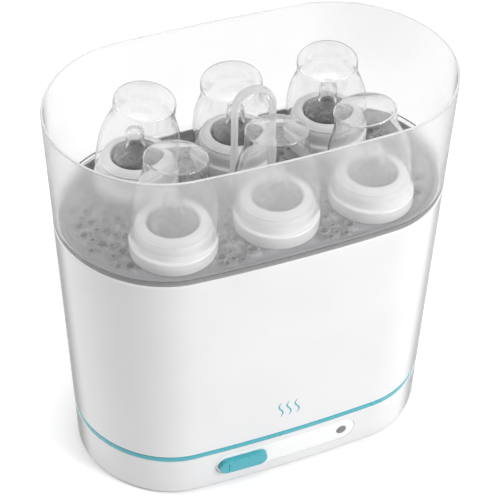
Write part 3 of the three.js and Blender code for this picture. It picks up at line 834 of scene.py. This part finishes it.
def perforated(name, z, thickness, inset, holes, material, collar, edge=None):
    """A plate inside the outline with round holes (x, y, radius, sides), each with a collar of that height.

    edge is an open profile of (inset, z) points from the plate's top edge round to its bottom edge.
    """
    outer = outline(z, inset)
    count = len(outer)
    loops = [outer]
    for x, y, r, sides in holes:
        angles = circle_angles(sides)
        mouth = r + (1.0 if collar else 0.0)
        loops.append(np.column_stack([x + mouth * np.cos(angles), y + mouth * np.sin(angles)]))
    flat = np.concatenate(loops)
    edges, start = [], 0
    for loop in loops:
        edges += [(start + i, start + (i + 1) % len(loop)) for i in range(len(loop))]
        start += len(loop)
    verts, _, faces, origin, _, _ = delaunay_2d_cdt([Vector(p) for p in flat], edges, [], 1, 1e-6)
    index = {}
    for new, olds in enumerate(origin):
        for old in olds:
            index[new] = old
    kept = []
    margin = 0.5 if collar else 0
    for face in faces:
        centre = sum((Vector(verts[i]) for i in face), Vector((0, 0))) / len(face)
        if all((centre.x - x) ** 2 + (centre.y - y) ** 2 > (r + margin) ** 2 for x, y, r, _ in holes):
            kept.append([index[i] for i in face])
    total = len(flat)
    points = [(x, y, z) for x, y in flat]
    bottom = [flat[:count]]
    for loop, (x, y, r, _) in zip(loops[1:], holes):
        centre = np.array([x, y])
        bottom.append(centre + (loop - centre) * (r / np.linalg.norm(loop[0] - centre)))
    points += [(x, y, z - thickness) for x, y in np.concatenate(bottom)]
    faces = kept + [[i + total for i in reversed(face)] for face in kept]
    start = count
    for x, y, r, sides in holes:
        rows = [list(range(start, start + sides))]
        angles, mouth = circle_angles(sides), []
        if collar:
            mouth = [(r + 0.75, collar * 0.8), (r + 0.45, collar), (r + 0.1, collar * 0.8), (r, 0)]
        for radius, lift in mouth:
            rows.append(list(range(len(points), len(points) + sides)))
            points += [(x + radius * math.cos(a), y + radius * math.sin(a), z + lift) for a in angles]
        rows.append([i + total for i in range(start, start + sides)])
        faces += joined(rows)
        start += sides
    rows = [list(range(count))]
    for edge_inset, edge_z in edge or []:
        rows.append(list(range(len(points), len(points) + count)))
        points += [(x, y, edge_z) for x, y in outline(edge_z, edge_inset)]
    rows.append([i + total for i in range(count)])
    return new_piece(name, points, faces + joined(rows), material)


def edge_distance(x, y, loop):
    """How far the point is inside the closed loop; below zero outside it."""
    start, end = loop, np.roll(loop, -1, axis=0)
    along = end - start
    to_point = np.array([x, y]) - start
    t = np.clip((to_point * along).sum(1) / (along**2).sum(1), 0, 1)
    distance = np.linalg.norm(to_point - along * t[:, None], axis=1).min()
    crosses = (start[:, 1] > y) != (end[:, 1] > y)
    with np.errstate(divide="ignore", invalid="ignore"):
        hits = x < start[:, 0] + (y - start[:, 1]) * along[:, 0] / along[:, 1]
    return distance if (crosses & hits).sum() % 2 else -distance


TRAY_INSET = 9.8  # where the tray's flat floor ends and its rim begins


def tray_holes():
    """Steam holes in circles round each seat, with smaller ones further out and in clusters between seats."""
    floor_edge = outline(SEAM, TRAY_INSET)
    spacing, edge_margin, slot_half_length, slot_half_width = 2.3, 1.2, 24, 10
    holes = []

    def add(x, y, r, sides):
        clear_of_others = all(math.hypot(x - hx, y - hy) > r + hr + spacing for hx, hy, hr, _ in holes)
        clear_of_slot = abs(x) > slot_half_length + r or abs(y) > slot_half_width + r
        if clear_of_others and clear_of_slot and edge_distance(x, y, floor_edge) > r + edge_margin:
            holes.append((x, y, r, sides))

    def add_circle(seat, radius, number, r, sides, phase=0.5):
        for i in range(number):
            angle = 2 * math.pi * (i + phase) / number
            add(seat[0] + radius * math.cos(angle), seat[1] + radius * math.sin(angle), r, sides)

    for seat in SEATS:
        add(*seat, 9.0, 36)
        add_circle(seat, 19.0, 10, 3.2, 18, 0.0)
    for x in (-40.0, 36.0):
        for y in (-63.5, 63.5, 0.0):
            for dx, dy in ((0, 0), (5.8, -3.0), (-5.8, -3.0), (0, 7.2), (0, -6.6)):
                add(x + dx, y + dy * (-1 if y > 0 else 1), 1.7, 14)
    for seat in SEATS:
        add_circle(seat, 33.6, 14, 3.1, 18)
    for seat in SEATS:
        for radius, number, r in ((41.0, 24, 1.8), (48.0, 22, 3.0), (55.0, 32, 1.8), (62.0, 28, 2.8)):
            add_circle(seat, radius, number, r, 14)
    return holes


def build_tray():
    floor = SEAM
    edge = [
        (9.0, floor),
        (8.4, floor + 0.25),
        (7.2, floor + 1.9),
        (6.7, floor + 2.3),
        (6.0, floor + 2.4),
        (5.2, floor + 2.3),
        (4.85, floor + 1.9),
        (4.8, floor - 3.5),
        (5.1, floor - 3.8),
        (6.9, floor - 3.8),
        (7.2, floor - 3.5),
        (7.3, floor - 2.4),
    ]
    tray = perforated("tray_floor", floor, 2.2, TRAY_INSET, tray_holes(), MAT["tray_grey"], 0.75, edge)
    collar_out = flat_prism("slot_collar", 43.6, 15.6, floor - 1.0, floor + 4.5, MAT["tray_grey"])
    slot_length, slot_width = 41.0, 13.0
    collar_in = flat_prism("slot_cut_a", slot_length, slot_width, floor - 6, floor + 9, MAT["tray_grey"])
    slot_cut = flat_prism("slot_cut_b", slot_length, slot_width, floor - 6, floor + 9, MAT["tray_grey"])
    subtract(tray, slot_cut)
    subtract(collar_out, collar_in)
    place(tray, "steam_tray", "tray_grey", "steam_tray")
    place(collar_out, "steam_tray", "tray_grey")


def flat_prism(name, length, depth, z0, z1, material):
    """An upright pill-shaped block with softened rims."""
    rows = [(0.3, 0), (0, 0.3), (0, z1 - z0 - 0.3), (0.3, z1 - z0)]
    return lofted(name, length, depth, depth / 2, rows, lambda x, y, out: (x, y, z0 + out), material, 4)


def build_wall():
    wall = outline_ring(
        "frosted_sleeve",
        [
            (0.9, SEAM + 0.25),
            (0.25, SEAM + 1.4),
            (0.05, RIM - 0.9),
            (0.25, RIM - 0.25),
            (0.7, RIM),
            (1.4, RIM),
            (1.75, RIM - 0.4),
            (2.0, SEAM + 5),
            (4.2, SEAM + 2.8),
            (4.2, SEAM - 3.5),
            (2.9, SEAM - 3.5),
            (2.9, SEAM + 0.25),
        ],
        MAT["frosted_wall"],
        0.25,
    )
    place(wall, "upper_wall", "frosted_wall", "upper_wall")


# ---- Tongs ----


def build_tongs():
    """One bent strip, wider along its blades."""
    low, high = node_mm("tongs_left_arm")
    top, tip, blade_top = high[2], low[2], 256
    radius, strip = 15.5, 3.0
    middle = radius - strip / 2
    bend_z = top - radius
    half = [(5.6, tip + 0.9), (7.9, tip + 2.4), (10.6, tip + 6.0), (12.9, tip + 10.0), (13.8, tip + 14.0)]
    half += [(middle, z) for z in (tip + 20, *np.arange(tip + 26, bend_z - 1, 6.0))]
    bend = np.linspace(0, math.pi / 2, 13)[:-1]
    half += [(middle * math.cos(a), bend_z + middle * math.sin(a)) for a in bend]
    line = half + [(0, top - strip / 2)] + [(-x, z) for x, z in reversed(half)]
    path = [Vector((x, 0, z)) for x, z in line]
    sections = []
    for i, p in enumerate(path):
        ahead = path[min(i + 1, len(path) - 1)] - path[max(i - 1, 0)]
        across = Vector((ahead.z, 0, -ahead.x)).normalized()
        blade = min(1.0, max(0.0, (blade_top - p.z) / 8)) * min(1.0, max(0.0, (p.z - tip - 12) / 8))
        loop = rounded_rectangle(strip, 2 * (3.5 + 1.45 * blade), 0.9, 4)
        sections.append([tuple(p + across * a + Vector((0, b, 0))) for a, b in loop])
    tongs = swept("tongs_strip", path, sections, MAT["tongs_plastic"], 50.0)
    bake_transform(tongs)
    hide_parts("tongs_left_arm", "tongs_right_arm")


# ---- Bottle tops ----

LEDGE = 10.3  # where the caps stand on their rings
CAP_HEIGHT, CAP_RIM, CAP_TOP = 58.5, 29.8, 21.6


def smooth_curve(points, steps=5):
    """A Catmull-Rom curve through the points, ends included."""
    points = [np.array(p, float) for p in points]
    padded = [2 * points[0] - points[1]] + points + [2 * points[-1] - points[-2]]
    curve = []
    for a, b, c, d in zip(padded, padded[1:], padded[2:], padded[3:]):
        for k in range(steps):
            t = k / steps
            bends = (2 * a - 5 * b + 4 * c - d) * t**2 + (3 * b - a - 3 * c + d) * t**3
            curve.append(tuple(0.5 * (2 * b + (c - a) * t + bends)))
    return curve + [tuple(points[-1])]


def ring_mesh():
    shoulder = smooth_curve([(27.25, 15.0), (26.7, 18.2), (25.0, 21.0), (22.2, 23.1), (19.6, 23.9)], 4)
    skirt = [(27.9, 0.3), (28.3, 0), (29.5, 0), (30, 0.6), (30, LEDGE - 0.9)]
    ledge = [(29.3, LEDGE), (27.6, LEDGE), (27.3, LEDGE + 0.6)]
    mouth = [(18.5, 24.0), (18.0, 23.5), (17.9, 22.1), (18.4, 21.65)]
    bore = [(25.4, 21.6), (25.4, 8.6), (27.9, 8.6)]
    profile = skirt + ledge + shoulder + mouth + bore
    return turned("ring_model", profile, MAT["ring_white"], 96, 0.25).data


def teat_mesh():
    outside, inside = 6.3, 4.9
    outer = [(24.4, 20.1), (24.4, 21.2), (17.0, 21.3)]
    cone = [(16.8, 22.4), (15.6, 24.6), (11.6, 27.3), (8.0, 29.9), (6.7, 34.0)]
    outer += smooth_curve(cone + [(outside, 39.0), (outside, 42.8)], 5)
    outer += [(outside * math.cos(a), 42.8 + 4.1 * math.sin(a)) for a in np.linspace(0.2, 1.4, 7)]
    inner = [(inside * math.cos(a), 42.2 + 3.2 * math.sin(a)) for a in np.linspace(1.4, 0.2, 6)]
    inner_cone = [(inside, 42.0), (5.0, 34.2), (6.8, 29.0), (10.7, 26.1), (14.4, 23.4), (15.5, 21.6)]
    inner += smooth_curve(inner_cone, 5)
    profile = [(0, 45.4)] + inner + [(15.6, 20.1)] + outer + [(0, 46.9)]
    return turned("teat_model", profile, MAT["silicone"], 72, 0.0, 60.0).data


def cap_mesh():
    skirt = [(CAP_RIM, 0.8), (29.45, 10), (28.95, 19.5), (27.9, 27), (25.8, 34.5)]
    neck = [(22.9, 42.0), (21.85, 46.5), (CAP_TOP, 50.5), (CAP_TOP, 56.6)]
    side = smooth_curve(skirt + neck, 5)
    edge = [(21.5, 57.4), (21.1, 58.1), (20.4, 58.45)]
    inner_neck = [(20.9, 56.8), (20.9, 50.4), (21.15, 46.4), (22.2, 41.8)]
    inner_skirt = [(25.1, 34.3), (27.2, 26.8), (28.25, 19.4), (28.75, 10), (29.1, 0.6)]
    inner = smooth_curve(inner_neck + inner_skirt, 5)
    profile = (
        [(0, CAP_HEIGHT)]
        + list(reversed(edge))
        + list(reversed(side))
        + [(CAP_RIM, 0.3), (29.55, 0), (29.3, 0)]
        + list(reversed(inner))
        + [(20.8, 57.3), (20.2, 57.7), (0, CAP_HEIGHT - 0.75)]
    )
    return turned("cap_model", profile, MAT["clear_cap"], 96, 0.0, 60.0).data


def instance(name, mesh, matrix, body, slot, node):
    piece = bpy.data.objects.new(name, mesh)
    bpy.context.scene.collection.objects.link(piece)
    piece.matrix_world = matrix
    return place(piece, body, slot, node)


def build_tops():
    """Each seat's ring, teat and cap. The caps stand loosely, so each has slid and tilted a little."""
    ring, teat, cap = ring_mesh(), teat_mesh(), cap_mesh()
    for helper in ("ring_model", "teat_model", "cap_model"):
        bpy.data.objects.remove(bpy.data.objects[helper])
    for where, (x, y), (lean_x, lean_y) in zip(PLACES, SEATS, CAP_LEAN):
        seat = Matrix.Translation(Vector((x, y, SEAM)) * MM)
        turn = Matrix.Rotation(math.radians(37 * (x + y)), 4, "Z")
        top = f"bottle_top_{where}"
        instance(f"collar_{where}", ring, seat @ turn, top, "ring_white", f"screw_ring_{where}")
        instance(f"nipple_{where}", teat, seat @ turn, top, "silicone", f"teat_{where}")
        lean = math.hypot(lean_x, lean_y)
        slide = 0.6
        tilt = math.asin((lean - slide) / CAP_HEIGHT)
        direction = Vector((lean_x / lean, lean_y / lean, 0))
        axis = Vector((0, 0, 1)).cross(direction)
        lift = LEDGE + 0.3 + CAP_RIM * math.sin(tilt)
        shift = Matrix.Translation((direction * slide + Vector((0, 0, lift))) * MM)
        matrix = seat @ shift @ Quaternion(axis, tilt).to_matrix().to_4x4()
        instance(f"cover_{where}", cap, matrix, f"dome_{where}", "clear_cap", f"dome_cap_{where}")


# ---- A generic steam sign on the front ----


def build_sign():
    """Three plain wavy lines that taper at both ends."""
    foot, height, sway, half_width = 60.0, 15.0, 1.7, 0.75
    for number, x0 in enumerate((-6.5, 0.0, 6.5), 1):
        path, sections = [], []
        for t in np.linspace(0, 1, 33):
            z = foot + height * t
            x = x0 + sway * math.sin(2 * math.pi * t)
            width = half_width * math.sin(math.pi * (0.06 + 0.88 * t)) ** 0.5
            centre = Vector((x, front_y(x, z), z))
            path.append(centre)
            loop = [(math.cos(a), math.sin(a)) for a in circle_angles(10)]
            sections.append([tuple(centre + Vector((width * c, -0.12 * s, 0))) for c, s in loop])
        wave = swept(f"steam_sign_{number}", path, sections, MAT["teal_accent"], 60.0)
        place(wave, "lower_basket", "teal_accent")


# ---- Carried-over CAD nodes ----

CARRIED = {
    "bottom_cover": "white_inner",
    "heater_seal": "seal_rubber",
    "heat_spreader": "aluminium",
    "heating_element": "steel_wire",
    "thermostat": "black_plastic",
    "thermostat_bracket": "steel_wire",
    "thermal_fuse": "aluminium",
    "control_board": "board_green",
    "switch_body": "black_plastic",
    "status_led": "led_clear",
    "live_wire": "wire_brown",
    "neutral_wire": "wire_blue",
    "earth_wire": "wire_green",
}


def finish_carried():
    for node, key in CARRIED.items():
        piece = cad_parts[node]
        piece.data.materials.clear()
        piece.data.materials.append(MAT[key])


# ---- Stage ----

FLOOR_LIFT = 0.45  # glow that keeps the floor almost white; it fades close to the objects, a painted contact shadow
FAR_FLOOR = 0.73  # brightness of the floor far from the lights
SURROUNDINGS = 0.24  # brightness of the world for matt surfaces


def build_stage():
    n = Nodes("studio_floor")
    tone = n.mix_color(n.noise(1.2, 2.0), grey(236), grey(240))
    matt = n.bsdf("Diffuse", Color=tone)
    direct = n.add("LightPath").outputs["Is Camera Ray"]
    seen = n.math("MAXIMUM", direct, n.math("MULTIPLY", n.math("SUBTRACT", 1.0, n.passing_rays()), 0.8))
    # Painted shadow: ambient occlusion dims the floor's glow beside the objects, a contact shadow.
    floor_contact_shade = n.add("AmbientOcclusion", Distance=0.03).outputs["AO"]
    strength = n.math("MULTIPLY", n.math("MULTIPLY", seen, floor_contact_shade), FLOOR_LIFT)
    lift = n.add("Emission", Strength=strength).outputs[0]
    floor_material = n.done(n.add("AddShader", i0=matt, i1=lift).outputs[0])
    size = 4000.0
    corners = [(-size, -size, 0), (size, -size, 0), (size, size, 0), (-size, size, 0)]
    new_piece("floor", corners, [(0, 1, 2, 3)], floor_material)
    build_world()
    add_light("overhead", (0.0, 0.1, 2.4), (0, 0, 0.1), 1.2, 9.0)
    add_light("key_right", (1.41, -1.68, 1.6), (0, 0, 0.15), 1.0, 52.0)
    add_light("fill_left", (-1.8, 1.12, 1.3), (0, 0, 0.15), 1.0, 23.5)


def build_world():
    """Soft grey surroundings for matt surfaces, and a bright tent, greyer low down, for shiny and clear ones.

    Seen directly it has the far floor's tone, so that a low view has no horizon line. That changes no light.
    """
    world = bpy.data.worlds.new("studio")
    bpy.context.scene.world = world
    world.use_nodes = True
    tree = world.node_tree
    background = tree.nodes["Background"]
    direction = tree.nodes.new("ShaderNodeTexCoord").outputs["Generated"]
    split = tree.nodes.new("ShaderNodeSeparateXYZ")
    tree.links.new(direction, split.inputs[0])
    tent = tree.nodes.new("ShaderNodeMapRange")
    tent.interpolation_type = "SMOOTHSTEP"
    tree.links.new(split.outputs["Z"], tent.inputs["Value"])
    for key, value in {"From Min": 0.05, "From Max": 0.6, "To Min": 0.6, "To Max": 1.05}.items():
        tent.inputs[key].default_value = value
    path = tree.nodes.new("ShaderNodeLightPath")
    choose = tree.nodes.new("ShaderNodeMix")
    tree.links.new(path.outputs["Is Diffuse Ray"], choose.inputs[0])
    tree.links.new(tent.outputs[0], choose.inputs[2])
    choose.inputs[3].default_value = SURROUNDINGS
    backdrop = tree.nodes.new("ShaderNodeMix")
    tree.links.new(path.outputs["Is Camera Ray"], backdrop.inputs[0])
    tree.links.new(choose.outputs[0], backdrop.inputs[2])
    backdrop.inputs[3].default_value = FAR_FLOOR
    tree.links.new(backdrop.outputs[0], background.inputs["Strength"])
    background.inputs["Color"].default_value = (1.0, 1.0, 1.0, 1.0)


def add_light(name, position, target, size, power):
    data = bpy.data.lights.new(name, "AREA")
    data.shape = "SQUARE"
    data.size = size
    data.energy = power
    light = bpy.data.objects.new(name, data)
    bpy.context.scene.collection.objects.link(light)
    light.location = position
    light.rotation_euler = (Vector(target) - Vector(position)).to_track_quat("-Z", "Y").to_euler()


def build_camera():
    """A view from the front left and above. back, side and top are the camera's own axes."""
    yaw, elevation, roll = (math.radians(v) for v in (-22.97, 41.82, 1.21))
    target, distance = Vector((-0.7, 0.0, 158.4)) * MM, 1080.8 * MM
    level = math.cos(elevation)
    back = Vector((math.sin(yaw) * level, -math.cos(yaw) * level, math.sin(elevation)))
    right = Vector((math.cos(yaw), math.sin(yaw), 0))
    up = back.cross(right)
    side = math.cos(roll) * right + math.sin(roll) * up
    top = math.cos(roll) * up - math.sin(roll) * right
    data = bpy.data.cameras.new("camera")
    data.lens = 105.92
    data.sensor_width = 36.0
    camera = bpy.data.objects.new("camera", data)
    bpy.context.scene.collection.objects.link(camera)
    rotation = Matrix((side, top, back)).transposed().to_4x4()
    camera.matrix_world = Matrix.Translation(target + back * distance) @ rotation
    bpy.context.scene.camera = camera


def set_light_paths():
    scene = bpy.context.scene
    scene.cycles.transparent_max_bounces = 48
    scene.cycles.max_bounces = 16
    scene.cycles.transmission_bounces = 14
    scene.cycles.glossy_bounces = 6
    scene.cycles.diffuse_bounces = 5
    scene.cycles.caustics_reflective = False
    scene.cycles.caustics_refractive = False
    scene.cycles.sample_clamp_indirect = 6.0
    scene.view_settings.view_transform = "Standard"
    scene.view_settings.look = "None"


build_base()
build_basket()
build_tray()
build_wall()
build_tongs()
build_tops()
build_sign()
finish_carried()
build_stage()
build_camera()
set_light_paths()
